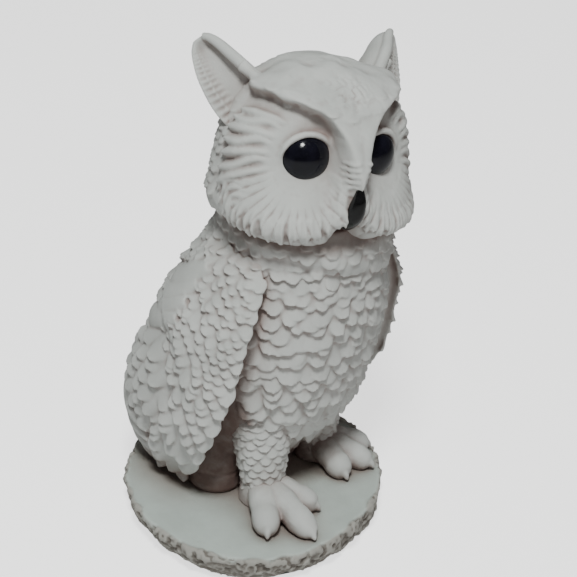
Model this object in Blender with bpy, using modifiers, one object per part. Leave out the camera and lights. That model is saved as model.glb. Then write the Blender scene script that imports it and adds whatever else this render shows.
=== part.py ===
"""Horned owl figurine: a hollow cast bird, bonded from sections, on a rough round plinth.

World frame: metres, +Z up, the owl faces -Y, and its right side is towards -X.
The origin lies on the resting face, under the middle of the plinth.
Sizes below are in millimetres and angles in degrees; MM turns them into metres.
"""
import math

import bmesh
import bpy
import numpy as np
from mathutils import Vector

MM = 0.001
GAP = 0.3                    # clearance left at every bonded joint
SEAT_GAP = 0.5               # horizontal clearance on sloping seats, 0.3 or more across them
WALL = 6.0                   # wall of the hollow castings
NECK_JOINT = 172.0           # height at which the head is bonded on
SEGMENTS = 40                # points around a body section

# Plinth, from the resting face upwards
FELT_THICKNESS = 1.5
UNDERCUT = (4.5, 3.5, 170.0)            # how far the broken edge draws in below: mean, swing, angle of most
FELT_MARGIN = 2.0
PLINTH_TOP = 18.0
RIM_RADII = (84, 80, 78, 78, 75, 75, 77, 79, 73.5, 67, 68.5, 75)   # every 30 degrees from +X, towards +Y
VENT_PLACE = (18.0, 32.0)
VENT_RADIUS = 12.0
PLUG_LENGTH = 12.0

# Body: middle plane of the bird, and sections as (height, middle y, half width, half depth)
MID_X = 18.0
TORSO = (
    (15, 34, 50, 33.5), (35, 28, 50, 37), (50, 20, 50, 42), (70, 15, 54, 48), (95, 12, 57, 51),
    (120, 9, 57, 50), (145, 5, 52, 47), (160, 3, 49, 45), (175, 2, 46, 43),
)
TORSO_SQUARENESS = 2.1

# Wings: (height, middle y, half width, half depth, front angle, rear angle, thickness);
# angles are taken at the body's middle, from straight ahead round to the wing's own side
WING = (
    (24, 24, 58, 52, 90, 134, 6), (36, 21, 65, 63, 85, 140, 9), (50, 19, 70, 69, 80, 145, 11),
    (67, 17, 74, 72, 74, 148, 12), (90, 14, 75, 68, 68, 147, 14), (110, 9, 73, 61, 66, 143, 15),
    (130, 4, 70, 54, 65, 137, 15), (150, 3, 60, 49, 66, 128, 12), (162, 3, 53, 46, 69, 118, 7),
    (168, 3, 48, 44, 77, 106, 3),
)
WING_SQUARENESS = 2.6
WING_STATIONS = 13           # points across a wing, front to rear
WING_LEVELS = 15             # sections up a wing

# Tail: (height, middle y, half width, half thickness)
TAIL = ((21, 69, 17, 4.5), (40, 69, 20, 5.5), (60, 67, 21, 7), (80, 63, 19, 8), (96, 58, 13, 7))

# Head: centre, turn towards the bird's right, lean to its left, sections as
# (height, half width, half depth in front, half depth behind)
HEAD_CENTRE = (17.5, 0.0, 225.0)
HEAD_TURN = 20.0
HEAD_LEAN = 4.0
HEAD = (
    (169, 46, 42, 43), (178, 49, 46, 44), (187, 51, 47, 43), (200, 51, 45, 42), (215, 50, 43, 42),
    (230, 48, 41, 41), (244, 43, 36, 38), (255, 34, 28, 31), (263, 21, 17, 20), (266.5, 8, 7, 8),
)
# Swellings and hollows of the face: (side angle, height, depth, angular spread, spread in height)
FACE = (
    (46, 194, 6.0, 26, 15), (-46, 194, 6.0, 26, 15),        # cheeks under the facial discs
    (29, 225, -9.0, 15, 12), (-29, 225, -9.0, 15, 12),      # eye hollows
    (0, 214, 6.0, 9, 22),                                   # bridge between the eyes
    (42, 247, 3.5, 22, 7), (-42, 247, 3.5, 22, 7),          # brows
)

# Pieces of the face, in the head's own axes: (left, ahead, up) from its centre
EYE_PLACE = (18.5, 23.0, -1.0)
EYE_RADIUS = 14.0
BEAK = (                     # (ahead, up, half width, half depth) from root to tip
    (46, -6, 1.6, 2.0), (50, -11, 3.2, 3.8), (53.5, -17, 4.4, 5.0), (54, -24, 4.6, 4.8),
    (51.5, -30, 3.4, 3.2), (48.8, -33.5, 1.2, 1.2),
)
EAR = (                      # (left, ahead, up, half width, half thickness) from root to tip
    (33, 1, 12, 17, 8), (43, -8, 20, 16, 7), (50, -18, 29.5, 12.5, 5.5), (54, -26, 36.5, 7.5, 4),
    (56.5, -32, 42, 2.5, 2),
)
EAR_BROADSIDE = (-0.55, 0.07, 0.83)   # from the ear's outer edge to its inner one, left ear

# Joint collar inside the neck
COLLAR = (37.5, 34.0, 3.0)            # half width, half depth, wall
COLLAR_SPAN = (162.0, 182.0)

# Legs: ankle places, tops, radii; toes as tip places and lengthwise radii
ANKLES = {"right": (-13.0, -15.0), "left": (44.0, -4.0)}
LEG_TOPS = {"right": (-10.0, -6.0), "left": (41.0, 2.0)}
LEG_TOP_Z = 70.0
ANKLE_Z = 30.0
LEG_RADII = (17.5, 15.0, 11.5)
TOES = {
    "right": ((0.0, -45.0), (-21.0, -61.0), (-39.0, -44.0)),
    "left": ((35.0, -36.0), (55.0, -38.0), (69.0, -24.0)),
}
TOE_RADII = (8.5, 7.0, 6.5, 3.0)
TOE_HEIGHTS = (22.5, 23.5, 23.0, 19.5)
ROD_RADIUS = 2.5
ROD_SPAN = (7.0, 78.0)

PLASTER = (0.62, 0.64, 0.62, 1.0)
GLOSS_BLACK = (0.012, 0.012, 0.016, 1.0)


def smooth_row(table, at):
    """Row of a table at any value of its first column, on a smooth curve through the rows."""
    rows = np.asarray(table, float)
    keys = rows[:, 0]
    slopes = np.gradient(rows[:, 1:], keys, axis=0)
    at = min(max(at, keys[0]), keys[-1])
    i = min(int(np.searchsorted(keys, at, side="right")) - 1, len(keys) - 2)
    span = keys[i + 1] - keys[i]
    t = (at - keys[i]) / span
    return ((2 * t**3 - 3 * t**2 + 1) * rows[i, 1:] + (t**3 - 2 * t**2 + t) * span * slopes[i]
            + (3 * t**2 - 2 * t**3) * rows[i + 1, 1:] + (t**3 - t**2) * span * slopes[i + 1])


def levels(table, count):
    """Evenly spaced values from a table's first key to its last."""
    return np.linspace(table[0][0], table[-1][0], count)


def section_point(middle_y, half_width, half_depth, angle, squareness):
    """Point of a rounded section; the angle runs from straight ahead towards the bird's right."""
    side, ahead = math.sin(angle), math.cos(angle)
    power = 2.0 / squareness
    return (MID_X - half_width * math.copysign(abs(side) ** power, side),
            middle_y - half_depth * math.copysign(abs(ahead) ** power, ahead))


def principled(name, colour, roughness, metallic=0.0):
    material = bpy.data.materials.new(name)
    material.use_nodes = True
    shader = material.node_tree.nodes["Principled BSDF"]
    shader.inputs["Base Color"].default_value = colour
    shader.inputs["Roughness"].default_value = roughness
    shader.inputs["Metallic"].default_value = metallic
    return material


def add_object(name, mesh, collection, material=None):
    piece = bpy.data.objects.new(name, mesh)
    collection.objects.link(piece)
    if material:
        mesh.materials.append(material)
    return piece


def add_cutter(name, mesh, collection):
    cutter = add_object(name, mesh, collection)
    cutter.hide_render = True
    cutter.display_type = "WIRE"
    return cutter


def boolean(piece, other, operation="DIFFERENCE"):
    modifier = piece.modifiers.new(other.name, "BOOLEAN")
    modifier.operation = operation
    modifier.solver = "EXACT"
    modifier.object = other


def loft(name, rings, cap_first=True, cap_last=True):
    """Mesh through closed rings of equally many points, given in millimetres."""
    form = bmesh.new()
    loops = [[form.verts.new(Vector(point) * MM) for point in ring] for ring in rings]
    for lower, upper in zip(loops, loops[1:]):
        for i in range(len(lower)):
            j = (i + 1) % len(lower)
            form.faces.new((lower[i], lower[j], upper[j], upper[i]))
    if cap_first:
        form.faces.new(list(reversed(loops[0])))
    if cap_last:
        form.faces.new(loops[-1])
    bmesh.ops.recalc_face_normals(form, faces=form.faces)
    mesh = bpy.data.meshes.new(name)
    form.to_mesh(mesh)
    form.free()
    mesh.shade_smooth()
    mesh.set_sharp_from_angle(angle=math.radians(40))
    return mesh


def cylinder(name, radius, bottom, top, place, segments):
    """Upright cylinder mesh between two heights, in millimetres."""
    form = bmesh.new()
    bmesh.ops.create_cone(form, cap_ends=True, segments=segments, radius1=radius * MM,
                          radius2=radius * MM, depth=(top - bottom) * MM)
    centre = Vector((place[0], place[1], (bottom + top) / 2)) * MM
    bmesh.ops.translate(form, verts=form.verts, vec=centre)
    mesh = bpy.data.meshes.new(name)
    form.to_mesh(mesh)
    form.free()
    mesh.shade_smooth()
    mesh.set_sharp_from_angle(angle=math.radians(40))
    return mesh


def ball(name, radius, centre):
    """Sphere mesh with its centre given in millimetres."""
    form = bmesh.new()
    bmesh.ops.create_uvsphere(form, u_segments=20, v_segments=12, radius=radius * MM)
    bmesh.ops.translate(form, verts=form.verts, vec=Vector(centre) * MM)
    mesh = bpy.data.meshes.new(name)
    form.to_mesh(mesh)
    form.free()
    mesh.shade_smooth()
    return mesh


# ---- plinth ----------------------------------------------------------------------------

def rim_radius(angle):
    """Radius of the broken rim, on a smooth closed curve through the driving radii."""
    step = 2 * math.pi / len(RIM_RADII)
    i = int(angle // step)
    t = angle / step - i
    a, b, c, d = (RIM_RADII[(i + k) % len(RIM_RADII)] for k in (-1, 0, 1, 2))
    return b + 0.5 * t * (c - a + t * (2 * a - 5 * b + 4 * c - d + t * (3 * (b - c) + d - a)))


def undercut(angle):
    """How far the plinth's lower edge stays inside its rim; the cast edge is broken away unevenly."""
    mean, swing, most = UNDERCUT
    return mean + swing * math.cos(angle - math.radians(most))


def rim_ring(height, inset=0.0, drawn_in=0.0, margin=0.0):
    ring = []
    for i in range(SEGMENTS):
        angle = 2 * math.pi * i / SEGMENTS
        radius = rim_radius(angle) - inset - drawn_in * undercut(angle) - margin
        ring.append((radius * math.cos(angle), radius * math.sin(angle), height))
    return ring


def build_plinth(parts, cutters, plaster):
    bottom = FELT_THICKNESS + GAP
    rings = [rim_ring(bottom, 0, 1.0), rim_ring(bottom + 4, 0, 0.6), rim_ring(bottom + 9, 0, 0.2),
             rim_ring(PLINTH_TOP - 3), rim_ring(PLINTH_TOP, 1.2)]
    plinth = add_object("plinth", loft("plinth", rings), parts, plaster)
    bore = cylinder("vent_bore", VENT_RADIUS, 0.0, PLINTH_TOP + 5, VENT_PLACE, 32)
    boolean(plinth, add_cutter("vent_bore", bore, cutters))
    return plinth


def build_felt(parts, felt):
    rings = [rim_ring(height, 0, 1.0, FELT_MARGIN) for height in (0.0, FELT_THICKNESS)]
    add_object("felt_sheet", loft("felt_sheet", rings), parts, felt)


def build_vent_plug(parts, cork):
    bottom = FELT_THICKNESS + GAP
    mesh = cylinder("vent_plug", VENT_RADIUS - GAP, bottom, bottom + PLUG_LENGTH, VENT_PLACE, 32)
    plug = add_object("vent_plug", mesh, parts, cork)
    chamfer = plug.modifiers.new("chamfer", "BEVEL")
    chamfer.width = 1.0 * MM
    chamfer.segments = 1
    chamfer.limit_method = "ANGLE"


# ---- torso, wings and tail -------------------------------------------------------------

def torso_ring(height, grow=0.0):
    middle_y, half_width, half_depth = smooth_row(TORSO, height)
    return [(*section_point(middle_y, half_width + grow, half_depth + grow,
                            2 * math.pi * i / SEGMENTS, TORSO_SQUARENESS), height)
            for i in range(SEGMENTS)]


def torso_solid(name, grow):
    """Filled torso, larger all round, which cuts the seats of the pieces bonded to it."""
    heights = levels(TORSO, 14)
    rings = [torso_ring(height, grow) for height in heights]
    rings[0] = [(x, y, heights[0] - 4) for x, y, _ in rings[0]]
    rings[-1] = [(x, y, heights[-1] + 4) for x, y, _ in rings[-1]]
    return loft(name, rings)


def build_torso(parts, plaster):
    rings = [torso_ring(height) for height in levels(TORSO, 14)]
    torso = add_object("torso", loft("torso", rings, False, False), parts, plaster)
    wall = torso.modifiers.new("wall", "SOLIDIFY")
    wall.thickness = WALL * MM
    wall.offset = -1
    return torso


def wing_ring(side, height):
    """Crescent section of a wing: its outer face front to rear, then its inner face back."""
    middle_y, half_width, half_depth, front, rear, thickness = smooth_row(WING, height)
    outer, inner = [], []
    for i in range(WING_STATIONS):
        t = i / (WING_STATIONS - 1)
        angle = math.radians(front + (rear - front) * t)
        edge = math.sin(math.pi * t) ** 0.5
        sink = 1.5 * (1 - edge)
        depth = thickness * (0.35 + 0.65 * edge)
        for points, inset in ((outer, sink), (inner, sink + depth)):
            x, y = section_point(middle_y, half_width - inset, half_depth - inset, angle, WING_SQUARENESS)
            points.append((MID_X + side * (MID_X - x), y, height))
    return outer + inner[::-1]


def build_wing(name, side, parts, plaster, seat):
    rings = [wing_ring(side, height) for height in levels(WING, WING_LEVELS)]
    wing = add_object(name, loft(name, rings), parts, plaster)
    boolean(wing, seat)


def build_tail(parts, plaster, seat):
    rings = []
    for height in levels(TAIL, 7):
        middle_y, half_width, half_thickness = smooth_row(TAIL, height)
        turns = [2 * math.pi * i / 20 for i in range(20)]
        rings.append([(MID_X + half_width * math.cos(turn), middle_y + half_thickness * math.sin(turn), height)
                      for turn in turns])
    tail = add_object("tail", loft("tail", rings), parts, plaster)
    boolean(tail, seat)


def build_neck_collar(parts, plaster):
    """Open ring that locates the head on the torso from inside."""
    half_width, half_depth, wall = COLLAR
    middle_y = HEAD_CENTRE[1] + 1
    turns = [2 * math.pi * i / 32 for i in range(32)]
    rings = [[(*section_point(middle_y, half_width, half_depth, turn, 2.0), height) for turn in turns]
             for height in COLLAR_SPAN]
    collar = add_object("neck_collar", loft("neck_collar", rings, False, False), parts, plaster)
    thickness = collar.modifiers.new("wall", "SOLIDIFY")
    thickness.thickness = wall * MM
    thickness.offset = -1


# ---- head ------------------------------------------------------------------------------

def head_place(left, ahead, up):
    """World place, in millimetres, of a point in the head's own axes; the neck doesn't lean."""
    height = HEAD_CENTRE[2] + up
    held = min(max((height - NECK_JOINT) / 25.0, 0.0), 1.0)
    lean = math.radians(HEAD_LEAN) * held * held * (3 - 2 * held)
    turn = math.radians(HEAD_TURN)
    across = left * math.cos(lean) + up * math.sin(lean)
    risen = -left * math.sin(lean) + up * math.cos(lean) if held else up
    return (HEAD_CENTRE[0] + across * math.cos(turn) - ahead * math.sin(turn),
            HEAD_CENTRE[1] - across * math.sin(turn) - ahead * math.cos(turn),
            HEAD_CENTRE[2] + risen)


def face_relief(angle, height):
    """How far the face stands out of the plain head there; the angle is from straight ahead."""
    total = 0.0
    for side, middle, depth, spread, rise in FACE:
        away = (math.degrees(angle) - side + 180) % 360 - 180
        total += depth * math.exp(-0.5 * (away / spread) ** 2 - 0.5 * ((height - middle) / rise) ** 2)
    return total


def head_ring(height, grow=0.0):
    half_width, front, behind = smooth_row(HEAD, height)
    ring = []
    for i in range(SEGMENTS):
        angle = 2 * math.pi * i / SEGMENTS
        ahead = math.cos(angle)
        left = -math.sin(angle)
        depth = front if ahead > 0 else behind
        out = grow + face_relief(-angle, height)
        ring.append(head_place((half_width + out) * left, (depth + out) * ahead, height - HEAD_CENTRE[2]))
    return ring


def head_solid(name, grow):
    heights = levels(HEAD, 16)
    rings = [head_ring(height, grow) for height in heights]
    rings[0] = [(x, y, z - 4) for x, y, z in rings[0]]
    return loft(name, rings)


def build_head(parts, plaster):
    rings = [head_ring(height) for height in levels(HEAD, 16)]
    head = add_object("head", loft("head", rings, False, True), parts, plaster)
    wall = head.modifiers.new("wall", "SOLIDIFY")
    wall.thickness = WALL * MM
    wall.offset = -1
    return head


def build_eye(name, side, parts, cutters, gloss, head):
    left, ahead, up = EYE_PLACE
    centre = head_place(side * left, ahead, up)
    add_object(name, ball(name, EYE_RADIUS, centre), parts, gloss)
    boolean(head, add_cutter(name + "_socket", ball(name + "_socket", EYE_RADIUS + GAP, centre), cutters))


def build_beak(parts, gloss, seat):
    rings = []
    for ahead, up, half_width, half_depth in BEAK:
        rings.append([head_place(half_width * math.sin(2 * math.pi * i / 16),
                                 ahead - 2 + half_depth * math.cos(2 * math.pi * i / 16), up)
                      for i in range(16)])
    beak = add_object("beak", loft("beak", rings), parts, gloss)
    boolean(beak, seat)


def build_ear_tuft(name, side, parts, plaster, seat):
    """Leaf-shaped tuft, broad at its root, swept up and back to a blunt tip."""
    broad = Vector(EAR_BROADSIDE).normalized()
    spine = [Vector(row[:3]) for row in EAR]
    rings = []
    for k, (row, at) in enumerate(zip(EAR, spine)):
        along = (spine[min(k + 1, len(spine) - 1)] - spine[max(k - 1, 0)]).normalized()
        wide = (broad - along * broad.dot(along)).normalized()
        thick = along.cross(wide)
        ring = []
        for i in range(20):
            turn = 2 * math.pi * i / 20
            point = at + wide * (row[3] * math.cos(turn)) + thick * (row[4] * math.sin(turn))
            ring.append(head_place(side * point.x, point.y, point.z))
        rings.append(ring)
    tuft = add_object(name, loft(name, rings), parts, plaster)
    boolean(tuft, seat)


# ---- legs and feet ---------------------------------------------------------------------

def build_rod(name, side, parts, steel):
    mesh = cylinder(name, ROD_RADIUS, *ROD_SPAN, ANKLES[side], 16)
    add_object(name, mesh, parts, steel)


def build_leg(name, side, parts, plaster, seat, rod_bore):
    ankle, top = Vector(ANKLES[side]), Vector(LEG_TOPS[side])
    rings = []
    for t, radius in zip((0.0, 0.45, 1.0), reversed(LEG_RADII)):
        centre = ankle.lerp(top, t)
        height = ANKLE_Z + (LEG_TOP_Z - ANKLE_Z) * t
        rings.append([(centre.x + radius * math.cos(2 * math.pi * i / 20),
                       centre.y + radius * math.sin(2 * math.pi * i / 20), height) for i in range(20)])
    leg = add_object(name, loft(name, rings), parts, plaster)
    boolean(leg, seat)
    boolean(leg, rod_bore)


def toe_mesh(name, ankle, tip):
    """Tapered toe that arches from the ankle down to its claw."""
    start, end = Vector(ankle), Vector(tip)
    along = (end - start).normalized()
    across = Vector((-along.y, along.x))
    rings = []
    for t, radius, height in zip((0.0, 0.4, 0.78, 1.0), TOE_RADII, TOE_HEIGHTS):
        centre = start.lerp(end, t)
        rings.append([(centre.x + across.x * radius * math.cos(2 * math.pi * i / 12),
                       centre.y + across.y * radius * math.cos(2 * math.pi * i / 12),
                       height + radius * 0.8 * math.sin(2 * math.pi * i / 12)) for i in range(12)])
    return loft(name, rings)


def build_foot(name, side, parts, cutters, plaster, floor_block, seat, rod_bore):
    ankle = ANKLES[side]
    knuckle = cylinder(name, LEG_RADII[-1], PLINTH_TOP - 4, ANKLE_Z - GAP, ankle, 20)
    foot = add_object(name, knuckle, parts, plaster)
    for k, tip in enumerate(TOES[side]):
        toe = toe_mesh(f"{name}_toe_{k + 1}", ankle, tip)
        boolean(foot, add_cutter(f"{name}_toe_{k + 1}", toe, cutters), "UNION")
    boolean(foot, floor_block)
    boolean(foot, seat)
    boolean(foot, rod_bore)


def block(name, bottom, top):
    """Wide slab between two heights, which trims pieces flat at a joint."""
    form = bmesh.new()
    bmesh.ops.create_cube(form, size=1.0)
    bmesh.ops.scale(form, verts=form.verts, vec=(0.3, 0.3, (top - bottom) * MM))
    bmesh.ops.translate(form, verts=form.verts, vec=(0, 0, (top + bottom) / 2 * MM))
    mesh = bpy.data.meshes.new(name)
    form.to_mesh(mesh)
    form.free()
    return mesh


def main():
    for old in list(bpy.data.objects):
        bpy.data.objects.remove(old, do_unlink=True)
    parts = bpy.data.collections.new("owl_figurine")
    cutters = bpy.data.collections.new("owl_cutters")
    for collection in (parts, cutters):
        bpy.context.scene.collection.children.link(collection)

    plaster = principled("white_plaster", PLASTER, 0.85)
    gloss = principled("gloss_black", GLOSS_BLACK, 0.12)
    felt = principled("felt", (0.05, 0.12, 0.07, 1.0), 0.95)
    cork = principled("cork", (0.45, 0.30, 0.17, 1.0), 0.9)
    steel = principled("steel_wire", (0.55, 0.55, 0.56, 1.0), 0.4, 1.0)

    plinth = build_plinth(parts, cutters, plaster)
    build_felt(parts, felt)
    build_vent_plug(parts, cork)

    floor_block = add_cutter("floor_block", block("floor_block", 0, PLINTH_TOP + GAP), cutters)
    above_neck = add_cutter("above_neck", block("above_neck", NECK_JOINT, NECK_JOINT + 20), cutters)
    below_neck = add_cutter("below_neck", block("below_neck", NECK_JOINT - 20, NECK_JOINT + GAP), cutters)

    torso = build_torso(parts, plaster)
    boolean(torso, floor_block)
    boolean(torso, above_neck)
    torso_seat = add_cutter("torso_seat", torso_solid("torso_seat", SEAT_GAP), cutters)
    build_wing("right_wing", -1, parts, plaster, torso_seat)
    build_wing("left_wing", 1, parts, plaster, torso_seat)
    build_tail(parts, plaster, torso_seat)
    build_neck_collar(parts, plaster)

    head = build_head(parts, plaster)
    boolean(head, below_neck)
    head_seat = add_cutter("head_seat", head_solid("head_seat", SEAT_GAP), cutters)
    build_beak(parts, gloss, head_seat)
    for side, sign in (("right", -1), ("left", 1)):
        build_eye(side + "_eye", sign, parts, cutters, gloss, head)
        build_ear_tuft(side + "_ear_tuft", sign, parts, plaster, head_seat)
        bore_name = side + "_rod_bore"
        bore_mesh = cylinder(bore_name, ROD_RADIUS + GAP, ROD_SPAN[0] - GAP, ROD_SPAN[1] + 2, ANKLES[side], 16)
        rod_bore = add_cutter(bore_name, bore_mesh, cutters)
        build_rod(side + "_leg_rod", side, parts, steel)
        build_leg(side + "_leg", side, parts, plaster, torso_seat, rod_bore)
        build_foot(side + "_foot", side, parts, cutters, plaster, floor_block, torso_seat, rod_bore)
        boolean(plinth, rod_bore)
        boolean(torso, rod_bore)


main()
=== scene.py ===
"""Looks of the owl figurine: a sculpted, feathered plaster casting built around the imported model.

Every form is worked out in millimetres from the same driving sizes as the model's parts: smooth
surfaces carry rows of solid feathers, which a voxel remesh fuses into one cast skin for each part.
"""
import math

import bpy
import numpy as np
from mathutils import Matrix, Vector


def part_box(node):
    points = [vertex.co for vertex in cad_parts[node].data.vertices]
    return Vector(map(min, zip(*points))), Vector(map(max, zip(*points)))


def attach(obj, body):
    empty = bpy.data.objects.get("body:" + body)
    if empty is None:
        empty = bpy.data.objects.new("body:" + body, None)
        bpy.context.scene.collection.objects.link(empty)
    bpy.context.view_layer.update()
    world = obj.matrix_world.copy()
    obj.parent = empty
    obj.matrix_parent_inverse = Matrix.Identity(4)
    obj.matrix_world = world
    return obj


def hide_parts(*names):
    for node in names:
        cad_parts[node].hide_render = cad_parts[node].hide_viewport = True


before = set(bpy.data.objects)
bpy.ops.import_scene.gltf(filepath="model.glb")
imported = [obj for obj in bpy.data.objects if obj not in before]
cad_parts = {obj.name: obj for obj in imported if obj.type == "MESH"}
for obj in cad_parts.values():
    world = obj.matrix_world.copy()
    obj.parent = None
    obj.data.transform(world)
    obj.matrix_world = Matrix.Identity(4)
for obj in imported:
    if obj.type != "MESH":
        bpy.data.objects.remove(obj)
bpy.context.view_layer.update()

MM = 0.001
TAU = 2 * math.pi
rng = np.random.default_rng(11)
VOXELS = {                   # size of the skins' faces, in millimetres
    "plinth": 0.85, "torso": 0.80, "wing": 0.72, "head": 0.75, "ear": 0.5, "leg": 0.55, "foot": 0.55,
    "tail": 0.66, "beak": 0.4,
}

# ---- driving sizes, in millimetres and degrees, as in the model ---------------------------

MID_X = 18.0
PLINTH_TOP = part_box("plinth")[1].z / MM
PLINTH_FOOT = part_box("plinth")[0].z / MM
SOLE = PLINTH_TOP + 0.3
TORSO = (                    # height, middle y, half width, half depth
    (15, 34, 50, 33.5), (35, 28, 50, 37), (50, 20, 50, 42), (70, 15, 54, 48), (95, 12, 57, 51),
    (120, 9, 57, 50), (145, 5, 52, 47), (160, 3, 49, 45), (175, 2, 46, 43), (190, 1, 42, 39),
)
TORSO_SQUARENESS = 2.1
TORSO_INSET = 1.8            # leaves room for the feathers
WING = (                     # height, middle y, half width, half depth, front and rear angle, thickness
    (24, 24, 58, 52, 90, 134, 6), (36, 21, 65, 63, 85, 140, 9), (50, 19, 70, 69, 80, 145, 11),
    (67, 17, 74, 72, 74, 148, 12), (90, 14, 75, 68, 68, 147, 14), (110, 9, 73, 61, 66, 143, 15),
    (130, 4, 70, 54, 65, 137, 15), (150, 3, 60, 49, 66, 128, 12), (162, 3, 53, 46, 69, 118, 7),
    (168, 3, 48, 44, 77, 106, 3),
)
WING_SQUARENESS = 2.6
RIM_RADII = (84, 80, 78, 78, 75, 75, 77, 79, 73.5, 67, 68.5, 75)
UNDERCUT = (4.5, 3.5, 170.0)  # mean, swing, and the angle where it is deepest
HEAD_CENTRE = (17.5, 0.0, 225.0)
HEAD_TURN, HEAD_LEAN = 20.0, 4.0
NECK_JOINT = 172.0
HEAD = (                     # height, half width, depth ahead of the middle and behind it
    (176, 30, 30, 34), (180, 40, 38, 40), (187, 50, 46, 43), (200, 51, 45, 42), (215, 50, 43, 42),
    (230, 48, 41, 41), (244, 43, 36, 38), (255, 34, 28, 31), (262, 21, 17, 20), (265.5, 4, 3, 4),
)
EYE_PLACE = (18.5, 23.0, -1.0)
EYE_RADIUS = 14.4
EYE_SPLAY = 12.0
BEAK = (                     # ahead, up, half width, half depth
    (51.2, -4.5, 0.8, 1.0), (53.6, -9.5, 2.1, 2.4), (54.6, -15, 3.6, 4.0), (52.6, -22.5, 4.8, 4.9),
    (47.8, -29.5, 4.3, 3.8), (44.0, -33.8, 1.4, 1.3),
)
EAR = (                      # out, ahead, up, half width, thickness
    (33, 1, 12, 16, 9.5), (42, -8, 19, 15, 9), (49, -17, 27.5, 12.5, 8), (53, -24.5, 34, 9.5, 6.5),
    (55.5, -29, 38, 6.5, 5), (57, -31.5, 40.3, 3, 3),
)
EAR_BROADSIDE = (-0.55, 0.07, 0.83)
EAR_WIDENING = {-1: 1.0, 1: 1.25}
ANKLES = {-1: (-13.0, -15.0), 1: (44.0, -4.0)}
LEG_TOPS = {-1: (-10.0, -6.0), 1: (41.0, 2.0)}
TOES = {
    -1: ((0.0, -45.0), (-21.0, -61.0), (-39.0, -44.0)),
    1: ((35.0, -36.0), (55.0, -38.0), (69.0, -24.0)),
}

# ---- mathematics --------------------------------------------------------------------------


class Rows:
    """Smooth curve through the rows of a table, read at any values of its first column."""

    def __init__(self, table):
        rows = np.asarray(table, float)
        self.keys, self.values = rows[:, 0], rows[:, 1:]
        self.slopes = np.gradient(self.values, self.keys, axis=0)

    def __call__(self, at):
        at = np.clip(np.asarray(at, float), self.keys[0], self.keys[-1])
        i = np.clip(np.searchsorted(self.keys, at, side="right") - 1, 0, len(self.keys) - 2)
        span = self.keys[i + 1] - self.keys[i]
        t = ((at - self.keys[i]) / span)[..., None]
        span = span[..., None]
        value = ((2 * t**3 - 3 * t**2 + 1) * self.values[i] + (t**3 - 2 * t**2 + t) * span * self.slopes[i]
                 + (3 * t**2 - 2 * t**3) * self.values[i + 1] + (t**3 - t**2) * span * self.slopes[i + 1])
        return np.moveaxis(value, -1, 0)


def resampled(table, count):
    """A table's columns, each read at `count` even places along a smooth curve through its rows."""
    table = np.asarray(table, float)
    return Rows(np.column_stack([np.linspace(0, 1, len(table)), table]))(np.linspace(0, 1, count))


def smoothstep(x):
    x = np.clip(x, 0.0, 1.0)
    return x * x * (3 - 2 * x)


def bump(x, middle, spread):
    return np.exp(-0.5 * ((x - middle) / spread) ** 2)


def unit(v):
    return v / np.maximum(np.linalg.norm(v, axis=-1, keepdims=True), 1e-9)


def dot(a, b):
    return (a * b).sum(-1)


def noise(points, size, seed=0):
    """Smooth repeatable noise from -1 to 1 over points in space, with lumps of about the given size."""
    q = np.asarray(points, float) / size
    cell = np.floor(q).astype(np.int64)
    f = q - cell
    f = f * f * (3 - 2 * f)
    total = np.zeros(q.shape[:-1])
    for corner in range(8):
        step = np.array([corner & 1, corner >> 1 & 1, corner >> 2 & 1])
        key = ((cell + step) * np.array([374761393, 668265263, 1440662683])).sum(-1) + seed * 97531
        key = (key ^ (key >> 13)) * 1274126177
        key = key ^ (key >> 16)
        weight = np.where(step, f, 1 - f).prod(-1)
        total += weight * ((key & 0xFFFF) / 32767.5 - 1)
    return total


def section(middle_y, half_width, half_depth, angle, squareness):
    side, ahead = np.sin(angle), np.cos(angle)
    power = 2.0 / squareness
    return (MID_X - half_width * np.sign(side) * np.abs(side) ** power,
            middle_y - half_depth * np.sign(ahead) * np.abs(ahead) ** power)


# ---- clay: loose closed solids that become one skin -----------------------------------------


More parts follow.
